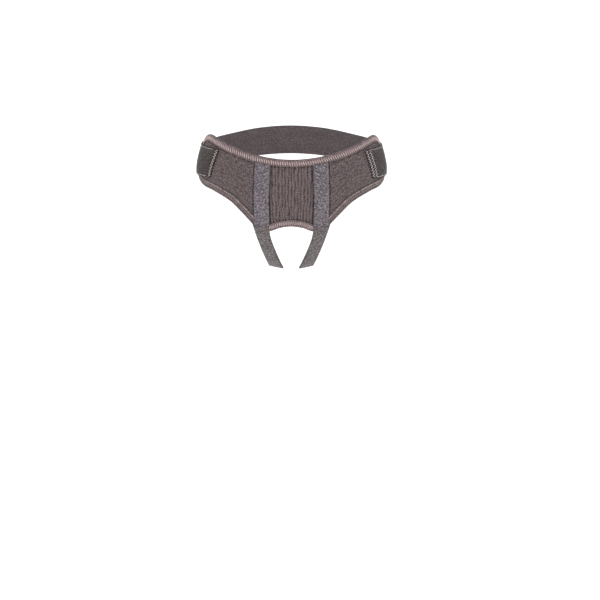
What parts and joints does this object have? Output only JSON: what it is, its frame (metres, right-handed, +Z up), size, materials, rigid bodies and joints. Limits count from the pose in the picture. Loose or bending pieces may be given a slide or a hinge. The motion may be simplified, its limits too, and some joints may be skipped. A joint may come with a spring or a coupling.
{
  "type": "hernia belt",
  "caption": "Worn hernia belt: ribbed front panel, padded side panels, bound edges, elastic back band with hip tabs, leg straps.",
  "frame": {"origin": "on the axis of the wearer's hips, level with the top edge of the front middle", "axes": "+Z up, the front faces -Y, +X towards the wearer's left"},
  "size_m": [0.3288, 0.2205, 0.2423],
  "materials": {
    "ribbed_knit": "vertical rib knit, matt",
    "padded_knit": "brushed loop knit over thin padding, matt",
    "binding_tape": "folded binding tape with zigzag stitching",
    "strap_web": "heather elastic webbing",
    "band_web": "wide woven elastic with lengthwise cords",
    "tab_cloth": "hook-and-loop backed woven tab with light stitching"
  },
  "bodies": {
    "root": {"centre_panel": "ribbed_knit", "side_panel_left": "padded_knit", "side_panel_right": "padded_knit", "top_binding": "binding_tape", "arch_binding": "binding_tape", "leg_binding_left": "binding_tape", "leg_binding_right": "binding_tape", "strap_left": "strap_web", "strap_right": "strap_web", "hip_tab_left": "tab_cloth", "hip_tab_right": "tab_cloth", "back_band": "band_web"}
  },
  "joints": []
}
